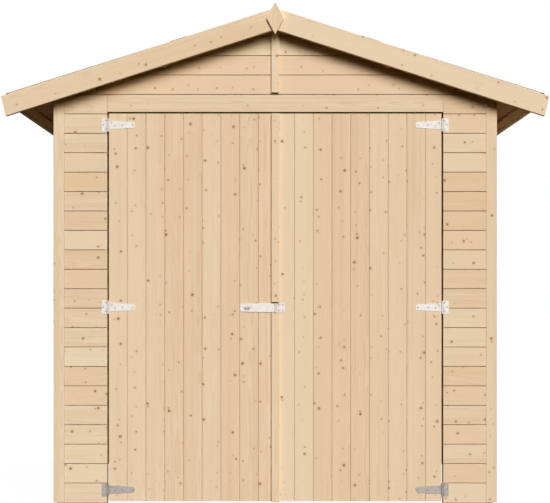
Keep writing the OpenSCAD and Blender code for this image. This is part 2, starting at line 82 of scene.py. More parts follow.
def spruce(name, tones, late, streak, knot, knot_share, sawn=False):
    """Spruce cut from solid timber: a matt, pale wood with darker latewood lines, brown knots and
    streaks. The attribute "grain" holds metres along, across and through each timber, measured
    from its own pith, and "tone" a number of its own from 0 to 1."""
    material, tree = new_material(name)
    late, streak, knot = linear(late), linear(streak), linear(knot)
    grain = add_node(tree, "ShaderNodeAttribute", {"attribute_name": "grain"}, {}, "Vector")
    tone = add_node(tree, "ShaderNodeAttribute", {"attribute_name": "tone"}, {}, "Fac")

    # Noise drawn out along the grain, with its cycles to the metre along, across and through it:
    # the pith's wandering, uneven knots, warmer streaks, soft clouds, lines of pitch, and fibres,
    # which are drawn 1.5 mm wide to show. A band saw leaves marks 4 mm apart across the grain.
    noise, patch, smooth = {}, {}, {"interpolation_type": "SMOOTHSTEP"}
    for use, scale, detail, low, high in (
            ("wander", (0.9, 5.0, 5.0), 2.0, 0.0, 1.0),
            ("uneven", (160.0, 160.0, 160.0), 1.0, 0.0, 1.0),
            ("streak", (0.55, 42.0, 42.0), 3.0, 0.42, 0.70),
            ("cloud", (2.6, 14.0, 14.0), 3.0, 0.35, 0.70),
            ("pitch", (5.0, 190.0, 190.0), 1.0, 0.74, 0.80),
            ("fibre", (9.0, 650.0, 650.0), 2.0, 0.35, 0.75),
            ("saw mark", (240.0, 9.0, 9.0), 1.0, 0.45, 0.75)):
        place = add_node(tree, "ShaderNodeMapping", {}, {"Vector": grain, "Scale": scale}, 0)
        noise[use] = add_node(tree, "ShaderNodeTexNoise", {}, {
            "Vector": place, "Scale": 1.0, "Detail": detail}).outputs
        patch[use] = add_node(tree, "ShaderNodeMapRange", smooth, {
            "Value": noise[use]["Fac"], "From Min": low, "From Max": high}, "Result")

    # Branches that run through a timber from face to face, at most one to a cell of a pattern:
    # the knot itself, its stained edge, and the wood that bends round it
    in_knot, stained, near_knot = 0.0, 0.0, 0.0
    wobbles = (-1.5 * mm, 1.5 * mm)
    for cell, share, radii, strengths in (
            (71 * mm, 1.4 * knot_share, (2.6 * mm, 4.4 * mm), (0.2, 0.65)),
            (112 * mm, knot_share, (3.4 * mm, 6.2 * mm), (0.55, 1.0))):
        cells = add_node(tree, "ShaderNodeTexVoronoi", {"voronoi_dimensions": "2D"}, {
            "Vector": grain, "Scale": 1 / cell}).outputs
        dice = add_node(tree, "ShaderNodeSeparateColor", {}, {"Color": cells["Color"]}).outputs
        away = add_node(tree, "ShaderNodeMath", {"operation": "MULTIPLY"}, {
            0: cells["Distance"], 1: cell}, 0)
        radius, wobble, strength = [
            add_node(tree, "ShaderNodeMapRange", {}, {"Value": draw, "To Min": low, "To Max": high}, 0)
            for draw, (low, high) in ((dice["Red"], radii), (noise["uneven"]["Fac"], wobbles),
                                      (dice["Blue"], strengths))]
        past = away
        for operation, other in (("SUBTRACT", radius), ("ADD", wobble)):
            past = add_node(tree, "ShaderNodeMath", {"operation": operation}, {0: past, 1: other}, 0)
        present = add_node(tree, "ShaderNodeMath", {"operation": "LESS_THAN"}, {
            0: dice["Green"], 1: share}, 0)
        strength = add_node(tree, "ShaderNodeMath", {"operation": "MULTIPLY"}, {
            0: strength, 1: present}, 0)
        zones = []
        for others, outer, inner in ((in_knot, 0.7, -0.9), (stained, 4.5, -1.0),
                                     (near_knot, 13.0, 0.0)):
            zone = add_node(tree, "ShaderNodeMapRange", smooth, {
                "Value": past, "From Min": outer * mm, "From Max": inner * mm, "To Max": strength}, 0)
            zones.append(add_node(tree, "ShaderNodeMath", {"operation": "MAXIMUM"},
                                  {0: zone, 1: others}, 0))
        in_knot, stained, near_knot = zones
    knot_rings = add_node(tree, "ShaderNodeMath", {"operation": "PINGPONG"}, {0: away, 1: 0.7 * mm}, 0)
    knot_rings = add_node(tree, "ShaderNodeMapRange", {}, {
        "Value": knot_rings, "From Max": 0.7 * mm, "To Max": 0.30}, 0)
    branch = add_node(tree, "ShaderNodeMix", {"data_type": "RGBA"}, {
        "Factor": knot_rings, 6: knot, 7: late}, 2)

    # Growth rings 3.2 mm apart round the pith, which wanders along the timber, bent round knots
    place = add_node(tree, "ShaderNodeVectorMath", {"operation": "MULTIPLY_ADD"}, {
        0: noise["wander"]["Color"], 1: (0.0, 60 * mm, 60 * mm), 2: grain}, 0)
    place = add_node(tree, "ShaderNodeVectorMath", {"operation": "MULTIPLY"}, {
        0: place, 1: (0.0, 1.0, 1.0)}, 0)
    from_pith = add_node(tree, "ShaderNodeVectorMath", {"operation": "LENGTH"}, {0: place}, 1)
    bend = add_node(tree, "ShaderNodeMath", {"operation": "MULTIPLY"}, {0: near_knot, 1: 1.6}, 0)
    ring = add_node(tree, "ShaderNodeMath", {"operation": "MULTIPLY_ADD"}, {
        0: from_pith, 1: 1 / (3.2 * mm), 2: bend}, 0)
    ring = add_node(tree, "ShaderNodeMath", {"operation": "FRACT"}, {0: ring}, 0)
    latewood = add_node(tree, "ShaderNodeValToRGB", {}, {"Fac": ring})
    ramp = latewood.color_ramp
    ramp.interpolation = "EASE"
    ramp.elements[0].position = 0.35
    ramp.elements[1].position = 0.86
    ramp.elements.new(0.92).color = (1, 1, 1, 1)
    ramp.elements.new(1.0).color = (0, 0, 0, 1)
    latewood = latewood.outputs["Color"]

    # Each timber has its own tone, and is anything from plain to strongly marked
    marked = add_node(tree, "ShaderNodeMath", {"operation": "MULTIPLY"}, {0: tone, 1: 17.3}, 0)
    marked = add_node(tree, "ShaderNodeMath", {"operation": "FRACT"}, {0: marked}, 0)
    marked = add_node(tree, "ShaderNodeMapRange", smooth, {
        "Value": marked, "To Min": 0.4, "To Max": 1.9}, 0)
    hues = add_node(tree, "ShaderNodeValToRGB", {}, {"Fac": tone})
    hues.color_ramp.elements.new(0.5)
    for stop, code in zip(hues.color_ramp.elements, tones):
        stop.color = linear(code)
    colour = hues.outputs["Color"]
    layers = [(latewood, marked, 0.11, late), (patch["streak"], marked, 0.18, streak),
              (patch["cloud"], marked, 0.06, late), (patch["pitch"], marked, 0.26, late),
              (patch["fibre"], marked, 0.10, late), (near_knot, 1.0, 0.16, late),
              (stained, 1.0, 0.32, knot), (in_knot, 1.0, 0.80, branch)]
    if sawn:
        layers.append((patch["saw mark"], 1.0, 0.16, late))
    for amount, weight, strength, tint in layers:
        for factor in (strength, weight):
            amount = add_node(tree, "ShaderNodeMath", {"operation": "MULTIPLY"}, {
                0: amount, 1: factor}, 0)
        colour = add_node(tree, "ShaderNodeMix", {"data_type": "RGBA"}, {
            "Factor": amount, 6: colour, 7: tint}, 2)

    # A planed face is smooth but for its fibres, and a sawn one is furrowed across
    relief = [(noise["fibre"]["Fac"], 0.5), (latewood, 0.35)]
    if sawn:
        relief.append((noise["saw mark"]["Fac"], 1.4))
    height = 0.0
    for pattern, share in relief:
        height = add_node(tree, "ShaderNodeMath", {"operation": "MULTIPLY_ADD"}, {
            0: pattern, 1: share, 2: height}, 0)
    bump = add_node(tree, "ShaderNodeBump", {}, {
        "Strength": 0.5, "Distance": (0.35 if sawn else 0.12) * mm, "Height": height}, 0)
    roughness = add_node(tree, "ShaderNodeMapRange", {}, {
        "Value": patch["fibre"], "To Min": 0.56, "To Max": 0.74}, 0)
    shader = add_node(tree, "ShaderNodeBsdfPrincipled", {}, {
        "Base Color": colour, "Roughness": roughness, "Specular IOR Level": 0.0, "Normal": bump}, 0)
    add_node(tree, "ShaderNodeOutputMaterial", {}, {"Surface": shader})
    return material


def skin(bm, rings):
    """Faces from one closed ring of vertices to the next, and a cap at each end."""
    count = len(rings[0])
    for first, second in zip(rings, rings[1:]):
        for i in range(count):
            j = (i + 1) % count
            bm.faces.new((first[i], first[j], second[j], second[i]))
    for end in (rings[0], rings[-1]):
        bm.faces.new(end)
    bmesh.ops.recalc_face_normals(bm, faces=bm.faces)


def mesh_of(bm, name, *materials):
    """A mesh from a bmesh, with its materials."""
    mesh = bpy.data.meshes.new(name)
    bm.to_mesh(mesh)
    bm.free()
    for material in materials:
        mesh.materials.append(material)
    return mesh


def object_of(name, data):
    """An object at the origin for a mesh that is already in its place, or for a lamp or camera."""
    piece = bpy.data.objects.new(name, data)
    bpy.context.scene.collection.objects.link(piece)
    return piece


def board_blank(outline):
    """A board's cross-section in millimetres (depth from the face, height), run from X -1 to 1."""
    bm = bmesh.new()
    skin(bm, [[bm.verts.new((x, depth * mm, height * mm)) for depth, height in outline]
              for x in (-1, 1)])
    return mesh_of(bm, "board_blank")


def laid_boards_tree():
    """Lays boards one above another and trims them to a length, to the slopes of a gable, and to
    a lowest and highest edge. Each board gets its own grain and tone."""
    tree = bpy.data.node_groups.new("laid_boards", "GeometryNodeTree")
    for name, kind in (
            ("Blank", "Geometry"), ("Boards", "Int"), ("Cover", "Float"), ("Half length", "Float"),
            ("Apex", "Float"), ("Slope", "Float"), ("Low edge", "Float"), ("High edge", "Float"),
            ("Seed", "Int"), ("Finish", "Material")):
        tree.interface.new_socket(name, in_out="INPUT", socket_type="NodeSocket" + kind)
    tree.interface.new_socket("Laid", in_out="OUTPUT", socket_type="NodeSocketGeometry")
    given = add_node(tree, "NodeGroupInput").outputs
    place = add_node(tree, "GeometryNodeInputPosition", {}, {}, 0)
    x, y, z = add_node(tree, "ShaderNodeSeparateXYZ", {}, {"Vector": place}).outputs

    # One board, with its grain measured from the middle of its face
    middle = add_node(tree, "ShaderNodeMath", {"operation": "MULTIPLY_ADD"}, {
        0: given["Cover"], 1: -0.5, 2: z}, 0)
    section = add_node(tree, "ShaderNodeCombineXYZ", {}, {"Y": middle, "Z": y}, 0)
    blank = add_node(tree, "GeometryNodeStoreNamedAttribute",
                     {"data_type": "FLOAT_VECTOR", "domain": "POINT"},
                     {"Geometry": given["Blank"], "Name": "grain", "Value": section}, 0)

    # The rows, each with a tone and a pith of its own, up to 45 mm to one side and 12 to 70 mm in
    step = add_node(tree, "ShaderNodeCombineXYZ", {}, {"Z": given["Cover"]}, 0)
    rows = add_node(tree, "GeometryNodeMeshLine", {"mode": "OFFSET"}, {
        "Count": given["Boards"], "Offset": step}, 0)
    boards = add_node(tree, "GeometryNodeInstanceOnPoints", {}, {"Points": rows, "Instance": blank}, 0)
    for name, kind, lows, highs, output in (
            ("pith", "FLOAT_VECTOR", (0.0, -0.045, 0.012), (40.0, 0.045, 0.07), 0),
            ("tone", "FLOAT", 0.0, 1.0, 1)):
        dice = add_node(tree, "FunctionNodeRandomValue", {"data_type": kind}, {
            "Seed": given["Seed"], 2 * output: lows, 2 * output + 1: highs}, output)
        boards = add_node(tree, "GeometryNodeStoreNamedAttribute",
                          {"data_type": kind, "domain": "INSTANCE"},
                          {"Geometry": boards, "Name": name, "Value": dice}, 0)
    boards = add_node(tree, "GeometryNodeRealizeInstances", {}, {"Geometry": boards}, 0)

    # Trimmed to the lowest and highest edge, and to the slopes or the length at each end
    z = add_node(tree, "ShaderNodeClamp", {}, {
        "Value": z, "Min": given["Low edge"], "Max": given["High edge"]}, 0)
    z = add_node(tree, "ShaderNodeMath", {"operation": "MINIMUM"}, {0: z, 1: given["Apex"]}, 0)
    end, hand = given["Apex"], add_node(tree, "ShaderNodeMath", {"operation": "SIGN"}, {0: x}, 0)
    for operation, other in (("SUBTRACT", z), ("DIVIDE", given["Slope"]),
                             ("MINIMUM", given["Half length"]), ("MULTIPLY", hand)):
        end = add_node(tree, "ShaderNodeMath", {"operation": operation}, {0: end, 1: other}, 0)
    corner = add_node(tree, "ShaderNodeCombineXYZ", {}, {"X": end, "Y": y, "Z": z}, 0)
    boards = add_node(tree, "GeometryNodeSetPosition", {}, {"Geometry": boards, "Position": corner}, 0)

    total = add_node(tree, "ShaderNodeCombineXYZ", {}, {"X": x}, 0)
    for name in ("grain", "pith"):
        part = add_node(tree, "GeometryNodeInputNamedAttribute", {"data_type": "FLOAT_VECTOR"},
                        {"Name": name}, 0)
        total = add_node(tree, "ShaderNodeVectorMath", {"operation": "ADD"}, {0: total, 1: part}, 0)
    boards = add_node(tree, "GeometryNodeStoreNamedAttribute",
                      {"data_type": "FLOAT_VECTOR", "domain": "POINT"},
                      {"Geometry": boards, "Name": "grain", "Value": total}, 0)
    boards = add_node(tree, "GeometryNodeRemoveAttribute", {}, {"Geometry": boards, "Name": "pith"}, 0)
    boards = add_node(tree, "GeometryNodeMergeByDistance", {}, {
        "Geometry": boards, "Distance": 0.01 * mm}, 0)
    boards = add_node(tree, "GeometryNodeSetMaterial", {}, {
        "Geometry": boards, "Material": given["Finish"]}, 0)
    add_node(tree, "NodeGroupOutput", {}, {"Laid": boards})
    return tree


def grown(name, mesh, tree, sizes):
    """A plain mesh object made from a start mesh by a Geometry Nodes tree."""
    piece = object_of(name, mesh)
    modifier = piece.modifiers.new("made", "NODES")
    modifier.node_group = tree
    for item in tree.interface.items_tree:
        if item.in_out == "INPUT" and item.name in sizes:
            modifier[item.identifier] = sizes[item.name]
    depsgraph = bpy.context.evaluated_depsgraph_get()
    done = bpy.data.meshes.new_from_object(
        piece.evaluated_get(depsgraph), preserve_all_data_layers=True, depsgraph=depsgraph)
    piece.modifiers.clear()
    piece.data = done
    done.name = name
    return piece


def fit(piece, body, slot, *nodes):
    """Rides a piece on its body and hides the CAD nodes that it stands for. Its slot is not used."""
    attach(piece, body)
    if nodes:
        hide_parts(*nodes)
    return piece


def lay_boards(name, body, node, blank, place, sizes):
    """Boards laid in their own frame, with X along them and Z up, and then put in the place of a
    CAD node."""
    given = {"Apex": 100.0, "Slope": 1.0, "Low edge": -100.0, "High edge": 100.0}
    piece = grown(name, blank, laid, given | sizes)
    piece.data.transform(place)
    fit(piece, body, "spruce_boards", node)


laid = laid_boards_tree()
wall_spruce = spruce("planed spruce, wall boards", ("#E9CCA6", "#ECD4B4", "#EEDABB"),
                     late="#CBA372", streak="#DCB68A", knot="#875826", knot_share=0.25)

cover = 88 * mm
shiplap = board_blank([
    (0.3, 0.3), (0, 1.0), (0, 83.2), (0.3, 84.2), (1.2, 84.9), (3.5, 85.3), (10.2, 85.4),
    (10.2, 95.5), (10.6, 96), (14, 96), (14.5, 95.5), (14.5, 87.8), (16, 87.8), (16, 0.4),
    (14.8, 0.4), (14.8, 8.8), (9.9, 8.8), (9.9, 0), (1.0, 0)])

end_gap, under_roof = 0.5 * mm, 5.2 * mm
low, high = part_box("front_right_cladding")
sole_z, header_z, front_y, half_d = low.z, high.z, low.y, -low.y
trim_x, half_jamb = high.x, (high.x - low.x) / 2
jamb_mid_x = low.x + half_jamb
side_x, frame_y, side_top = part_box("right_wall_cladding")[1]
apex_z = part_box("front_gable_cladding")[1].z
deck_low, deck_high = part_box("right_roof_boards")
slope = (apex_z + 0.05 * mm - deck_low.z) / deck_high.x

rows = round((header_z - sole_z) / cover)
side_rows = math.ceil((side_top - sole_z) / cover)
gable_rows = math.ceil((apex_z - header_z) / cover)
to_roof = {"High edge": side_top - sole_z - under_roof}
to_point = {"Apex": apex_z - header_z - end_gap, "Slope": slope}
quarter = math.pi / 2
for wall, start, turn, count, half_length, trimmed, seed in (
        ("front_left", (-jamb_mid_x, front_y, sole_z), 0, rows, half_jamb, {}, 3),
        ("front_right", (jamb_mid_x, front_y, sole_z), 0, rows, half_jamb, {}, 4),
        ("back_wall", (0, half_d, sole_z), math.pi, rows, trim_x, {}, 5),
        ("left_wall", (-side_x, 0, sole_z), -quarter, side_rows, frame_y, to_roof, 6),
        ("right_wall", (side_x, 0, sole_z), quarter, side_rows, frame_y, to_roof, 7),
        ("front_gable", (0, front_y, header_z), 0, gable_rows, trim_x, to_point, 8),
        ("back_gable", (0, half_d, header_z), math.pi, gable_rows, trim_x, to_point, 9)):
    place = Matrix.Translation(start) @ Matrix.Rotation(turn, 4, "Z")
    lay_boards(wall + "_shiplap", "garage", wall + "_cladding", shiplap, place,
               {"Boards": count, "Cover": cover, "Half length": half_length - end_gap,
                "Seed": seed, "Finish": wall_spruce} | trimmed)


# ---- Header board ----------------------------------------------------------------------------
# One shiplap board sawn down to the doorway's head. It butts against the boards at either side,
# and its tongue stands behind the lip of the lowest gable board.

header_low, header_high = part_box("front_header_board")
place = Matrix.Translation((0, front_y, header_z - cover))
lay_boards("doorway_header_board", "garage", "front_header_board", shiplap, place,
           {"Boards": 1, "Cover": cover, "Half length": header_high.x - end_gap,
            "Low edge": header_low.z - (header_z - cover), "Seed": 21, "Finish": wall_spruce})


# ---- Wall and gable frames -------------------------------------------------------------------
# Studs, rails and gable rafters of sawn spruce, 45 mm square, nailed together before the boards
# go on. Their arrises are left as the saw cut them, only slightly worn.

def loose_parts(bm):
    """The vertices of each separate solid in a mesh, in the mesh's own order."""
    bm.verts.index_update()
    seen, parts = set(), []
    for start in bm.verts:
        if start not in seen:
            group, front = {start}, [start]
            while front:
                vert = front.pop()
                near = [e.other_vert(vert) for e in vert.link_edges]
                front += [v for v in near if v not in group]
                group.update(near)
            seen |= group
            parts.append(sorted(group, key=lambda v: v.index))
    return parts


def merged(nodes):
    """The loose triangles of CAD nodes, joined up in one bmesh."""
    bm = bmesh.new()
    for node in nodes:
        bm.from_mesh(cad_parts[node].data)
    bmesh.ops.remove_doubles(bm, verts=bm.verts, dist=0.002 * mm)
    return bm


def softened(nodes, radius, sharp):
    """CAD nodes in one bmesh, with the edges that turn by more than so many degrees rounded."""
    bm = merged(nodes)
    bmesh.ops.dissolve_limit(bm, angle_limit=math.radians(1), verts=bm.verts, edges=bm.edges)
    arrises = [e for e in bm.edges if e.calc_face_angle(0) > math.radians(sharp)]
    bmesh.ops.bevel(bm, geom=arrises, offset=radius, segments=2, profile=0.5, affect="EDGES",
                    clamp_overlap=True)
    return bm


def timbers(name, body, slot, nodes, material, radius, seed, along=None):
    """Copies of CAD timbers with softened arrises. Each gets its own grain, along its longest
    edge unless a direction is given, and its own tone."""
    draw = random.Random(seed)
    bm = softened(nodes, radius, 25)
    bm.faces.index_update()
    grain = bm.verts.layers.float_vector.new("grain")
    tone = bm.verts.layers.float.new("tone")
    for group in loose_parts(bm):
        edges = [e for v in group for e in v.link_edges]
        faces = sorted({f for v in group for f in v.link_faces}, key=lambda f: f.index)
        longest = max(edges, key=lambda e: (round(e.calc_length(), 5), -e.verts[0].index))
        length_way = along or (longest.verts[1].co - longest.verts[0].co).normalized()
        level = [f for f in faces if abs(f.normal.dot(length_way)) < 0.1]
        through = max(level, key=lambda f: f.calc_area()).normal
        through = (through - through.dot(length_way) * length_way).normalized()
        across = through.cross(length_way)
        middle = sum((v.co for v in group), Vector()) / len(group)
        pith = Vector((draw.uniform(0, 40), draw.uniform(-0.04, 0.04), draw.uniform(0.015, 0.06)))
        shade = draw.random()
        for vert in group:
            p = vert.co - middle
            vert[grain] = pith + Vector((p.dot(length_way), p.dot(across), p.dot(through)))
            vert[tone] = shade
    fit(object_of(name, mesh_of(bm, name, material)), body, slot, *nodes)


sawn_spruce = spruce("sawn spruce, framing", ("#E2C497", "#DDBB8D", "#D9B388"),
                     late="#B98F5A", streak="#C89F6C", knot="#71492A", knot_share=0.35, sawn=True)
for name, nodes, seed in (
        ("front_wall_frame", ("front_wall_studs", "front_wall_rails"), 31),
        ("back_wall_frame", ("back_wall_studs", "back_wall_rails"), 32),
        ("side_wall_frames", ("side_wall_studs", "side_wall_rails"), 33),
        ("gable_end_frames", ("gable_frames",), 34)):
    timbers(name, "garage", "rough_framing", nodes, sawn_spruce, 0.8 * mm, seed)


# ---- Corner boards and gable battens ---------------------------------------------------------
# Planed spruce, a little paler than the wall boards. The end walls' corner boards fill the corner
# flush with the shiplap, the side ones are nailed over it, and a batten marks each gable's middle.

trim_spruce = spruce("planed spruce, corner boards and trim", ("#ECD3B1", "#EDD6B5", "#EED8B8"),
                     late="#CFA977", streak="#DFBB8F", knot="#875826", knot_share=0.24)
for name, nodes, seed in (
        ("end_wall_corner_boards", ("front_corner_trims", "back_corner_trims"), 41),
        ("side_wall_corner_boards", ("side_corner_trims",), 42),
        ("gable_middle_battens", ("gable_battens",), 43)):
    timbers(name, "garage", "spruce_trim", nodes, trim_spruce, 1.2 * mm, seed)


# ---- Nails in the walls ----------------------------------------------------------------------
# Galvanised lost-head nails, 3 mm across the head and driven almost flush, so that they show as
# small grey specks: one through each board at every stud, above the lap, and rows of them in the
# corner boards and the gable battens.

def zinc_plate(name, colour, spangle, roughness):
    """Zinc-plated steel: a metal whose thin passivated layer clouds its reflections, so that it
    looks soft and pale, with cloudy patches some 9 mm across, and shows no sharp highlight."""
    material, tree = new_material(name)
    place = add_node(tree, "ShaderNodeTexCoord", {}, {}, "Object")
    cloud = add_node(tree, "ShaderNodeTexNoise", {}, {
        "Vector": place, "Scale": 1 / (9 * mm), "Detail": 4.0}, "Fac")
    shade = add_node(tree, "ShaderNodeMapRange", {"interpolation_type": "SMOOTHSTEP"}, {
        "Value": cloud, "From Min": 0.35, "From Max": 0.7}, "Result")
    mixed = add_node(tree, "ShaderNodeMix", {"data_type": "RGBA"}, {
        "Factor": shade, 6: linear(colour), 7: linear(spangle)}, 2)
    rough = add_node(tree, "ShaderNodeMapRange", {}, {
        "Value": cloud, "To Min": roughness - 0.06, "To Max": roughness + 0.08}, 0)
    bump = add_node(tree, "ShaderNodeBump", {}, {
        "Strength": 0.15, "Distance": 0.1 * mm, "Height": cloud}, 0)
    shader = add_node(tree, "ShaderNodeBsdfPrincipled", {}, {
        "Base Color": mixed, "Roughness": rough, "Metallic": 1.0, "Normal": bump}, 0)
    add_node(tree, "ShaderNodeOutputMaterial", {}, {"Surface": shader})
    return material


def turned(name, outline, sides):
    """A closed solid turned about Z, from pairs of a radius and a height in millimetres."""
    bm = bmesh.new()
    rings = []
    for radius, height in outline:
        turns = [2 * math.pi * k / sides for k in range(sides if radius else 1)]
        rings.append([bm.verts.new((radius * mm * math.cos(a), radius * mm * math.sin(a),
                                    height * mm)) for a in turns])
    for below, above in zip(rings, rings[1:]):
        for k in range(sides):
            j = (k + 1) % sides
            corners = (below[k % len(below)], below[j % len(below)],
                       above[j % len(above)], above[k % len(above)])
            bm.faces.new(dict.fromkeys(corners))
    bmesh.ops.recalc_face_normals(bm, faces=bm.faces)
    return object_of(name, mesh_of(bm, name))


def driven_tree():
    """Puts a copy of a head at each point, facing the way that the point's "facing" gives, and
    turned about that way by chance."""
    tree = bpy.data.node_groups.new("driven_fixings", "GeometryNodeTree")
    for name, kind in (("Places", "Geometry"), ("Head", "Object"), ("Seed", "Int"),
                       ("Finish", "Material")):
        tree.interface.new_socket(name, in_out="INPUT", socket_type="NodeSocket" + kind)
    tree.interface.new_socket("Driven", in_out="OUTPUT", socket_type="NodeSocketGeometry")
    given = add_node(tree, "NodeGroupInput").outputs
    facing = add_node(tree, "GeometryNodeInputNamedAttribute", {"data_type": "FLOAT_VECTOR"}, {
        "Name": "facing"}, 0)
    outward = add_node(tree, "FunctionNodeAlignRotationToVector", {"axis": "Z"}, {"Vector": facing}, 0)
    angle = add_node(tree, "FunctionNodeRandomValue", {"data_type": "FLOAT"}, {
        "Seed": given["Seed"], 3: 2 * math.pi}, 1)
    spin = add_node(tree, "FunctionNodeAxisAngleToRotation", {}, {
        "Axis": (0.0, 0.0, 1.0), "Angle": angle}, 0)
    turn = add_node(tree, "FunctionNodeRotateRotation", {"rotation_space": "LOCAL"}, {
        "Rotation": outward, "Rotate By": spin}, 0)
    head = add_node(tree, "GeometryNodeObjectInfo", {}, {"Object": given["Head"]}, "Geometry")
    heads = add_node(tree, "GeometryNodeInstanceOnPoints", {}, {
        "Points": given["Places"], "Instance": head, "Rotation": turn}, 0)
    heads = add_node(tree, "GeometryNodeRealizeInstances", {}, {"Geometry": heads}, 0)
    heads = add_node(tree, "GeometryNodeRemoveAttribute", {}, {"Geometry": heads, "Name": "facing"}, 0)
    heads = add_node(tree, "GeometryNodeSetMaterial", {}, {
        "Geometry": heads, "Material": given["Finish"]}, 0)
    add_node(tree, "NodeGroupOutput", {}, {"Driven": heads})
    return tree


def drive(name, body, head, finish, seed, places):
    """Fixings at pairs of a point and the way that the head there faces."""
    mesh = bpy.data.meshes.new(name)
    mesh.from_pydata([point for point, way in places], [], [])
    facing = mesh.attributes.new("facing", "FLOAT_VECTOR", "POINT")
    facing.data.foreach_set("vector", [part for point, way in places for part in way])
    piece = grown(name, mesh, driven, {"Head": head, "Seed": seed, "Finish": finish})
    fit(piece, body, "zinc_plated_steel")


def boxes_of(node):
    """The lowest and highest corner of each separate timber in a CAD node."""
    bm = merged((node,))
    found = [(Vector(map(min, *(v.co for v in part))), Vector(map(max, *(v.co for v in part))))
             for part in loose_parts(bm)]
    bm.free()
    return found


nail_zinc = zinc_plate("galvanised steel, nail heads", "#A49E97", "#97918B", 0.55)
driven = driven_tree()
lost_head = turned("lost_head_nail", [(0, -2.0), (1.5, -0.8), (1.5, 0.1), (1.0, 0.3), (0, 0.3)], 8)
above_lap, from_slope = 24 * mm, 40 * mm
from_trim, from_corner, from_batten, from_edge = 15 * mm, 64 * mm, 60 * mm, 25 * mm
row_heights = [sole_z + cover * row + above_lap for row in range(rows)]
places = []
for face, way, studs in ((front_y, -1, "front_wall_studs"), (half_d, 1, "back_wall_studs")):
    for low, high in boxes_of(studs):
        x = (low.x + high.x) / 2
        x = math.copysign(min(abs(x), trim_x - from_trim), x)
        places += [((x, face, z), (0, way, 0)) for z in row_heights]
for low, high in boxes_of("side_wall_studs"):
    side = math.copysign(1, low.x)
    y = (low.y + high.y) / 2
    y = math.copysign(min(abs(y), frame_y - from_corner), y)
    places += [((side * side_x, y, sole_z + cover * row + above_lap), (side, 0, 0))
               for row in range(side_rows - 1)]
corner_low, corner_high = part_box("front_corner_trims")
corner_rows = [0.1 + 0.285 * row for row in range(7)]
batten_low, batten_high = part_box("gable_battens")
batten_rows = [batten_low.z + 0.02 + 0.08 * row for row in range(4)]
for way in (-1, 1):
    for row in range(gable_rows):
        z = header_z + cover * row + above_lap
        x = min((apex_z - z) / slope - from_slope, trim_x - from_trim)
        if x > from_batten:
            places += [((side * x, way * half_d, z), (0, way, 0)) for side in (-1, 1)]
    for z in corner_rows:
        for side in (-1, 1):
            places += [((side * (trim_x + corner_high.x) / 2, way * -corner_low.y, z),
                        (0, way, 0)),
                       ((side * corner_high.x, way * (frame_y - from_edge), z), (side, 0, 0))]
    places += [((0, way * batten_high.y, z), (0, way, 0)) for z in batten_rows]
drive("wall_nails", "garage", lost_head, nail_zinc, 45, places)


# ---- Purlins and roof battens ----------------------------------------------------------------
# Three sawn purlins carry the roof boards over both gables. Laths stiffen the boards' lower ends,
# and battens behind the barge boards give these something to be nailed to.

for name, nodes, seed in (
        ("roof_purlins", ("purlins",), 51),
        ("eaves_laths_and_verge_battens", ("eave_laths", "verge_battens"), 52)):
    timbers(name, "garage", "rough_framing", nodes, sawn_spruce, 0.8 * mm, seed)


# ---- Roof boards -----------------------------------------------------------------------------
# Tongued and grooved spruce, laid down the slope from the ridge, with its planed face and its
# V-joints turned down to the inside.

def v_joint_outline(width):
    """Cross-section of a tongued and grooved board with a V-joint on its face."""
    top = width - 0.2
    return [(0, 2.0), (0, width - 2.0), (3.4, top), (5.5, top), (5.5, top + 5), (6, top + 5.5),
            (9.5, top + 5.5), (10, top + 5), (10, top), (15.5, top), (16, top - 0.5), (16, 0.7),
            (15.5, 0.2), (10.3, 0.2), (10.3, 6.4), (5.2, 6.4), (5.2, 0.2), (3.4, 0.2)]


roof_cover = 94
roof_spruce = spruce("planed spruce, roof boards", ("#E6C79B", "#E0BD92", "#DCB489"),
                     late="#C1955E", streak="#CFA574", knot="#71492A", knot_share=0.35)
roof_blank = board_blank(v_joint_outline(roof_cover))
pitch = math.atan(slope)
deck_len = deck_high.x / math.cos(pitch)
deck_depth = deck_high.y - deck_low.y
underside = Vector((0, 0, -16 * mm / math.cos(pitch)))
for side, node, seed in ((1, "right_roof_boards", 61), (-1, "left_roof_boards", 62)):
    down = Vector((side * math.cos(pitch), 0, -math.sin(pitch)))
    up = Vector((side * math.sin(pitch), 0, math.cos(pitch)))
    next_board = down.cross(up)
    start = Vector((0, -math.copysign(deck_high.y, next_board.y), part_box(node)[1].z))
    place = (Matrix.Translation(start + underside + down * (deck_len / 2))
             @ Matrix((down, up, next_board)).transposed().to_4x4())
    lay_boards(node.replace("boards", "deck"), "garage", node, roof_blank, place,
               {"Boards": math.ceil(deck_depth / (roof_cover * mm)), "Cover": roof_cover * mm,
                "Half length": deck_len / 2, "Low edge": 0.0, "High edge": deck_depth,
                "Seed": seed, "Finish": roof_spruce})


# ---- Eaves boards ----------------------------------------------------------------------------
# Planed spruce boards nailed along the edge of the roof, with the felt turned down over them.

timbers("eaves_boards", "garage", "spruce_trim", ("eave_trims",), trim_spruce, 1.0 * mm, 71)


# ---- Roofing felt ----------------------------------------------------------------------------
# Mineral felt in two courses on each slope, the upper one lapping the lower, and a strip folded
# over the ridge. Slate granules stand proud of the bitumen, so that it is dark, rough and dull,
# and finely speckled. They are drawn 2.5 mm across to show.

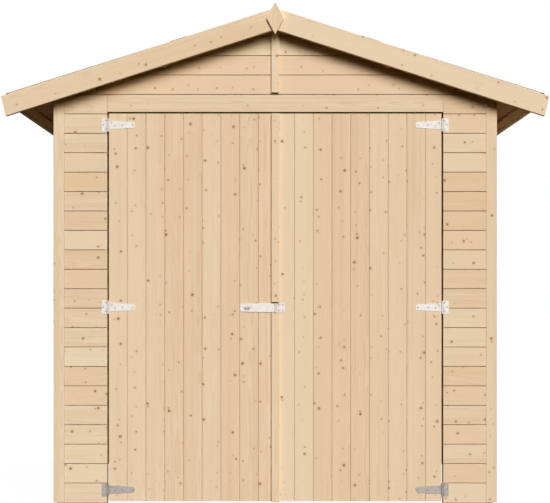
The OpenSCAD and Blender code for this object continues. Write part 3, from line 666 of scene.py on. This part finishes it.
felt, tree = new_material("bitumen felt, slate granules")
place = add_node(tree, "ShaderNodeTexCoord", {}, {}, "Object")
grit = add_node(tree, "ShaderNodeTexVoronoi", {}, {"Vector": place, "Scale": 1 / (2.5 * mm)})
patch = add_node(tree, "ShaderNodeTexNoise", {}, {"Vector": place, "Scale": 6.0, "Detail": 5.0})
shades = add_node(tree, "ShaderNodeValToRGB", {}, {"Fac": grit.outputs["Color"]})
shades.color_ramp.elements[0].color = linear("#35373A")
shades.color_ramp.elements[1].color = linear("#6A6D70")
worn = add_node(tree, "ShaderNodeMix", {"data_type": "RGBA", "blend_type": "MULTIPLY"}, {
    "Factor": 0.35, 6: shades.outputs["Color"], 7: patch.outputs["Color"]}, 2)
rough = add_node(tree, "ShaderNodeMapRange", {}, {
    "Value": patch.outputs["Fac"], "To Min": 0.8, "To Max": 0.95}, 0)
bump = add_node(tree, "ShaderNodeBump", {}, {
    "Strength": 0.8, "Distance": 0.6 * mm, "Height": grit.outputs["Distance"]}, 0)
shader = add_node(tree, "ShaderNodeBsdfPrincipled", {}, {
    "Base Color": worn, "Roughness": rough, "Normal": bump}, 0)
add_node(tree, "ShaderNodeOutputMaterial", {}, {"Surface": shader})


def run_sheet(name, outline, *nodes):
    """A sheet with a closed outline in X and Z, laid from verge to verge, and not quite flat."""
    low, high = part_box("ridge_felt")
    stations = 54
    bm = bmesh.new()
    rings = []
    for i in range(stations + 1):
        y = low.y + (high.y - low.y) * i / stations
        rings.append([bm.verts.new((x, y, z + 0.25 * mm * (1 + math.sin(11 * y + 6 * x)
                                                          * math.sin(4.3 * y - 9 * x))))
                      for x, z in outline])
    skin(bm, rings)
    fit(object_of(name, mesh_of(bm, name, felt)), "garage", "roof_felt", *nodes)


def on_roof(side, down, height):
    """A place in X and Z, in millimetres down the slope from the ridge and out from the boards."""
    x = down * mm * math.cos(pitch)
    return side * x, deck_high.z - x * slope + height * mm / math.cos(pitch)


felt_low, felt_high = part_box("right_roof_felt")
edge = (felt_high.x / mm) / math.cos(pitch)
strip_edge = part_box("ridge_felt")[1].x / mm / math.cos(pitch)
lap_top, lap_foot = 420, 495
for side, hand in ((-1, "left"), (1, "right")):
    outer, inner = side * (felt_high.x - 0.9 * mm), side * (felt_high.x - 2.8 * mm)
    sloping = [on_roof(side, down, height) for down, height in (
        (edge - 1.6, 1.1), (edge - 3.5, 1.9), (900, 1.9), (660, 1.9), (lap_top, 1.9),
        (lap_top, 0.1), (660, 0.1), (900, 0.1), (edge - 4.2, 0.1))]
    run_sheet(hand + "_lower_felt",
              [(outer, felt_low.z), (outer, on_roof(1, edge - 2, 0)[1] - 1 * mm)] + sloping
              + [(inner, on_roof(1, edge - 4.2, -0.8)[1]), (inner, felt_low.z)],
              hand + "_roof_felt")
    run_sheet(hand + "_upper_felt", [on_roof(side, down, height) for down, height in (
        (0.2, 1.9), (210, 1.9), (lap_top - 12, 1.9), (lap_top + 4, 3.8), (lap_foot, 3.8),
        (lap_foot, 2.0), (lap_top + 5, 2.0), (lap_top - 9, 0.1), (210, 0.1), (0.2, 0.1))])
across_ridge = [(-1, strip_edge), (-1, 70), (-1, 5), (1, 5), (1, 70), (1, strip_edge)]
run_sheet("ridge_strip",
          [on_roof(side, down, 3.8) for side, down in across_ridge]
          + [on_roof(side, down, 2.0) for side, down in reversed(across_ridge)], "ridge_felt")


# ---- Clout nails -----------------------------------------------------------------------------
# Galvanised nails with broad flat heads, 10 mm across, hold the felt along its eaves, its laps,
# its verges and the ridge strip.

clout = turned("clout_nail", [(0, -2.0), (4.7, -0.6), (5.0, 0.4), (3.6, 0.9), (0, 1.1)], 10)
verge_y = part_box("ridge_felt")[1].y - 16 * mm
places = []
for side in (-1, 1):
    up = (side * math.sin(pitch), 0, math.cos(pitch))
    eaves = (side * (felt_high.x - 0.7 * mm), felt_low.z + 12 * mm)
    for count, spacing, (x, z), way in (
            (31, 0.1, eaves, (side, 0, 0)), (31, 0.1, on_roof(side, lap_foot - 18, 4.0), up),
            (21, 0.15, on_roof(side, strip_edge - 14, 4.0), up)):
        places += [((x, spacing * (row - (count - 1) / 2), z), way) for row in range(count)]
    for down in range(200, int(edge) - 20, 110):
        if not lap_top - 20 < down < lap_foot + 10:
            x, z = on_roof(side, down, 2.1)
            places += [((x, way * verge_y, z), up) for way in (-1, 1)]
drive("felt_clouts", "garage", clout, nail_zinc, 75, places)
bpy.data.objects.remove(clout)


# ---- Barge boards and finials ----------------------------------------------------------------
# Planed spruce boards nailed to the verge battens and mitred at the ridge. A sawn diamond covers
# each mitre.

timbers("barge_boards", "garage", "spruce_trim", ("front_barge_boards", "back_barge_boards"),
        trim_spruce, 1.2 * mm, 81)
timbers("gable_diamonds", "garage", "spruce_trim", ("finials",), trim_spruce, 1.2 * mm, 82,
        along=Vector((0, 0, 1)))

barge_y, barge_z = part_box("back_barge_boards")[1].yz
places = []
for way in (-1, 1):
    for down in range(95, 1200, 270):
        for across in (22, 69):
            x = (down * math.cos(pitch) - across * math.sin(pitch)) * mm
            z = barge_z - (down * math.sin(pitch) + across * math.cos(pitch)) * mm
            places += [((side * x, way * barge_y, z), (0, way, 0)) for side in (-1, 1)]
drive("barge_board_nails", "garage", lost_head, nail_zinc, 85, places)


# ---- Door boards -----------------------------------------------------------------------------
# Tongued and grooved spruce with V-joints, upright, nailed to the ledges. The outer boards of
# each door are ripped down to its width.

door_spruce = spruce("planed spruce, door boards", ("#EACDA9", "#ECD3B1", "#EDD7B7"),
                     late="#CBA372", streak="#DCB68A", knot="#845525", knot_share=0.32)
door_cover = 84.8
door_blank = board_blank(v_joint_outline(door_cover))
step = door_cover * mm
from_middle, narrowest = 32 * mm, 25 * mm
for body, first_joint, seed in (("right_door", 87.2 * mm, 91), ("left_door", -670.2 * mm, 92)):
    low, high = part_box(body + "_boards")
    start_x = first_joint + math.ceil((high.x - first_joint) / step) * step
    count = math.ceil((start_x - low.x) / step)
    place = (Matrix.Translation((start_x, low.y, (low.z + high.z) / 2))
             @ Matrix.Rotation(-math.pi / 2, 4, "Y"))
    lay_boards(body + "_leaf_boards", body, body + "_boards", door_blank, place,
               {"Boards": count, "Cover": step, "Half length": (high.z - low.z) / 2,
                "Low edge": start_x - high.x, "High edge": start_x - low.x,
                "Seed": seed, "Finish": door_spruce})
    places = []
    for board in range(count):
        right = min(start_x - board * step, high.x)
        left = max(start_x - (board + 1) * step, low.x)
        if right - left > narrowest:
            places += [(((left + right) / 2, low.y, (foot.z + head.z) / 2 + rise), (0, -1, 0))
                       for foot, head in boxes_of(body + "_ledges")
                       for rise in (-from_middle, from_middle)]
    drive(body + "_nails", body, lost_head, nail_zinc, seed + 4, places)


# ---- Ledges and braces -----------------------------------------------------------------------
# Planed battens across the back of each door, with braces that rise from the hinges.

for body, seed in (("right_door", 101), ("left_door", 102)):
    timbers(body + "_back_battens", body, "spruce_trim", (body + "_ledges", body + "_braces"),
            trim_spruce, 1.5 * mm, seed)


# ---- Cover strip -----------------------------------------------------------------------------
# A planed strip nailed to the right door, rebated over the left one, and cut out at the hasp.

timbers("door_cover_strips", "right_door", "spruce_trim", ("door_cover_strip",), trim_spruce,
        2.5 * mm, 111)
low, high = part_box("door_cover_strip")
places = [((high.x - 7.5 * mm, low.y, low.z + 0.06 + 0.234 * row), (0, -1, 0)) for row in range(8)]
drive("cover_strip_nails", "right_door", lost_head, nail_zinc, 112, places)
bpy.data.objects.remove(lost_head)


# ---- T-hinges --------------------------------------------------------------------------------
# Pressed steel with rolled knuckles, zinc plated and passivated nearly white. The bottom pair takes
# a darker copy of the same plating: painted shade that stands in for the darker reflection low down.

bright_zinc = zinc_plate("zinc-plated steel, bright", "#C4BFBA", "#BCB7B3", 0.72)
# The same plating painted darker, standing in for the darker reflection that the low hinges show
low_hinge_zinc_painted_darker = zinc_plate("zinc-plated steel, painted darker", "#908A85", "#87827E", 0.6)


def pressing(name, body, node, painted_darker_below=None):
    """A copy of a CAD fitting with its edges broken. Below a height it takes the copy painted darker.
    """
    bm = softened((node,), 0.25 * mm, 40)
    for face in bm.faces:
        face.smooth = True
        if painted_darker_below and face.calc_center_median().z < painted_darker_below:
            # Faces below the height get the painted darker reflection
            face.material_index = 1
    mesh = mesh_of(bm, name, bright_zinc, low_hinge_zinc_painted_darker)
    mesh.set_sharp_from_angle(angle=math.radians(14))
    fit(object_of(name, mesh), body, "zinc_plated_steel", node)


for side in ("left", "right"):
    pressing(side + "_hinge_wall_plates", "garage", side + "_hinge_plates", painted_darker_below=0.5)
for side in ("left", "right"):
    pressing(side + "_hinge_straps", side + "_door", side + "_door_straps", painted_darker_below=0.5)


# ---- Hinge screws ----------------------------------------------------------------------------
# Raised countersunk screws with a cross recess, 7.6 mm across the head: three in each wall plate
# and four along each strap. Their plating is darker than the straps', and the bottom ones are
# painted darker still: a painted darker reflection, like that of the bottom hinges.

def cross_screw(name):
    """A screw's head with its recess, closed by a point below."""
    bm = bmesh.new()

    def ring(radius, height):
        angles = [k * math.pi / 12 for k in range(24)]
        return [bm.verts.new((radius * mm * math.cos(a), radius * mm * math.sin(a), height * mm))
                for a in angles]

    rim, crown = ring(3.8, 0.15), ring(3.1, 0.5)
    tip = bm.verts.new((0, 0, -3.0 * mm))
    arm, half = 2.0 * mm, 0.5 * mm
    corners = []
    for turn in range(4):
        c, s = round(math.cos(turn * math.pi / 2)), round(math.sin(turn * math.pi / 2))
        for x, y in ((arm, -half), (arm, half), (half, half)):
            corners.append((x * c - y * s, x * s + y * c))
    mouth = [bm.verts.new((x, y, 0.7 * mm)) for x, y in corners]
    base = [bm.verts.new((0.8 * x, 0.8 * y, -1.1 * mm)) for x, y in corners]
    for k in range(24):
        j = (k + 1) % 24
        bm.faces.new((tip, rim[j], rim[k]))
        bm.faces.new((rim[k], rim[j], crown[j], crown[k]))
    for turn in range(4):
        k, m = 6 * turn, 3 * turn
        for a, b in ((-1, 0), (1, 1), (3, 2)):
            bm.faces.new((crown[k + a], crown[k + a + 1], crown[k + a + 2],
                          mouth[(m + b + 1) % 12], mouth[m + b]))
    for k in range(12):
        j = (k + 1) % 12
        bm.faces.new((mouth[k], mouth[j], base[j], base[k]))
    bm.faces.new(base)
    bmesh.ops.recalc_face_normals(bm, faces=bm.faces)
    return object_of(name, mesh_of(bm, name))


bright_screws = zinc_plate("zinc-plated steel, screws", "#837D7B", "#787372", 0.45)
# The screws' plating painted darker for the bottom screws, as a painted darker reflection
bottom_screws_painted_darker = zinc_plate("zinc-plated steel, painted darker screws", "#787574", "#6E6C6B", 0.55)
screw_head = cross_screw("cross_recess_screw")
plate_y = front_y - 2.0 * mm
low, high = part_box("right_hinge_plates")
pin_x, half_plate = low.x + 4.8 * mm, 30 * mm
bottom, middle, top = low.z + half_plate, (low.z + high.z) / 2, high.z - half_plate
on_plate = ((9.3, 22), (9.3, -19), (21, 2))
on_strap = ((-15.6, 10), (-31, -3.5), (-65, 0), (-112, 0))
for level, centres, finish in (("upper", (middle, top), bright_screws),
                               ("bottom", (bottom,), bottom_screws_painted_darker)):
    for body, part, hands, spots, seed in (("garage", "plate", (-1, 1), on_plate, 127),
                                           ("left_door", "strap", (-1,), on_strap, 130),
                                           ("right_door", "strap", (1,), on_strap, 131)):
        places = [((side * (pin_x + out * mm), plate_y, centre + rise * mm), (0, -1, 0))
                  for side in hands for centre in centres for out, rise in spots]
        drive("_".join((body, level, part, "screws")), body, screw_head, finish, seed, places)


# ---- Hasp and staple -------------------------------------------------------------------------
# A plate and a slotted arm on one pin, of the same plated steel. The arm closes over the staple
# on the left door.

for name, node, body in (("hasp_fixed_plate", "hasp_plate", "right_door"),
                         ("hasp_slotted_arm", "hasp_arm", "hasp_arm"),
                         ("hasp_padlock_staple", "hasp_staple", "left_door")):
    pressing(name, body, node)

low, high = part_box("hasp_plate")
places = [((high.x - inset * mm, plate_y, (low.z + high.z) / 2 + rise * mm), (0, -1, 0))
          for inset in (9, 27) for rise in (-13, 13)]
drive("hasp_plate_screws", "right_door", screw_head, bright_screws, 131, places)
bpy.data.objects.remove(screw_head)


# ---- Studio ----------------------------------------------------------------------------------
# A white floor and a white room, which light the wood only faintly, and warm. Of the two soft
# lamps in front the upper one is cool and the lower one warm: together they are white, and they
# leave the shadows' soft edges warm. The other lamps light the roof, the sides and the back.

floor_mesh = bpy.data.meshes.new("studio_floor")
reach = 60.0
floor_mesh.from_pydata([(x * reach, y * reach, 0) for x, y in ((-1, -1), (1, -1), (1, 1), (-1, 1))],
                       [], [(0, 1, 2, 3)])
floor = object_of("studio_floor", floor_mesh)


def seen_directly(tree):
    """1 for rays from the camera, a reflection or a transmission, and 0 for those that light."""
    rays = add_node(tree, "ShaderNodeLightPath").outputs
    seen = rays["Is Camera Ray"]
    for kind in ("Is Glossy Ray", "Is Transmission Ray"):
        seen = add_node(tree, "ShaderNodeMath", {"operation": "MAXIMUM"}, {0: seen, 1: rays[kind]}, 0)
    return seen


paper, tree = new_material("white paper floor")
seen = seen_directly(tree)
tint = add_node(tree, "ShaderNodeMapRange", {}, {"Value": seen, "To Min": 0.0, "To Max": 0.95}, 0)
diffuse = add_node(tree, "ShaderNodeBsdfDiffuse", {}, {"Color": tint}, 0)
glow = add_node(tree, "ShaderNodeEmission", {}, {"Color": (1, 1, 1, 1)}, 0)
glow_share = add_node(tree, "ShaderNodeMath", {"operation": "MULTIPLY"}, {0: seen, 1: 0.94}, 0)
surface = add_node(tree, "ShaderNodeMixShader", {}, {0: glow_share, 1: diffuse, 2: glow}, 0)
add_node(tree, "ShaderNodeOutputMaterial", {}, {"Surface": surface})
floor_mesh.materials.append(paper)

world = bpy.data.worlds.new("studio")
bpy.context.scene.world = world
world.use_nodes = True
tree = world.node_tree
tree.nodes.clear()
room = add_node(tree, "ShaderNodeBackground", {}, {"Color": linear("#FFC894"), "Strength": 0.06}, 0)
white = add_node(tree, "ShaderNodeBackground", {}, {"Color": (1, 1, 1, 1), "Strength": 1.0}, 0)
sky = add_node(tree, "ShaderNodeMixShader", {}, {0: seen_directly(tree), 1: room, 2: white}, 0)
add_node(tree, "ShaderNodeOutputWorld", {}, {"Surface": sky})

for name, azimuth, elevation, strength, spread, colour in (
        ("front_softbox", 8, 28.7, 1.84, 26, (1.0, 1.125, 1.35)),
        ("lower_softbox", 12.6, 20.2, 1.43, 23, (1.0, 0.85, 0.60)),
        ("overhead_bank", 150, 62, 1.5, 30, (1.0, 1.0, 1.0)),
        ("left_side_bank", -105, 45, 1.1, 25, (1.0, 1.0, 1.0)),
        ("right_side_bank", 105, 45, 2.6, 25, (1.0, 1.0, 1.0)),
        ("back_bank", 190, 20, 1.9, 25, (1.0, 1.0, 1.0))):
    lamp = bpy.data.lights.new(name, "SUN")
    lamp.energy = strength
    lamp.color = colour
    lamp.angle = math.radians(spread)
    source = object_of(name, lamp)
    source.rotation_euler = (math.radians(90 - elevation), 0, math.radians(azimuth))

camera_data = bpy.data.cameras.new("front_camera")
camera_data.lens = 156.1
camera_data.sensor_width = 36
camera_data.shift_x = -0.0004
camera_data.shift_y = 0.0644
camera_data.clip_end = 200
camera = object_of("front_camera", camera_data)
camera_distance, camera_height = 10.8, 0.983
camera.location = (0, front_y - camera_distance, camera_height)
camera.rotation_euler = (math.pi / 2, 0, 0)
bpy.context.scene.camera = camera
bpy.context.scene.view_settings.view_transform = "Standard"
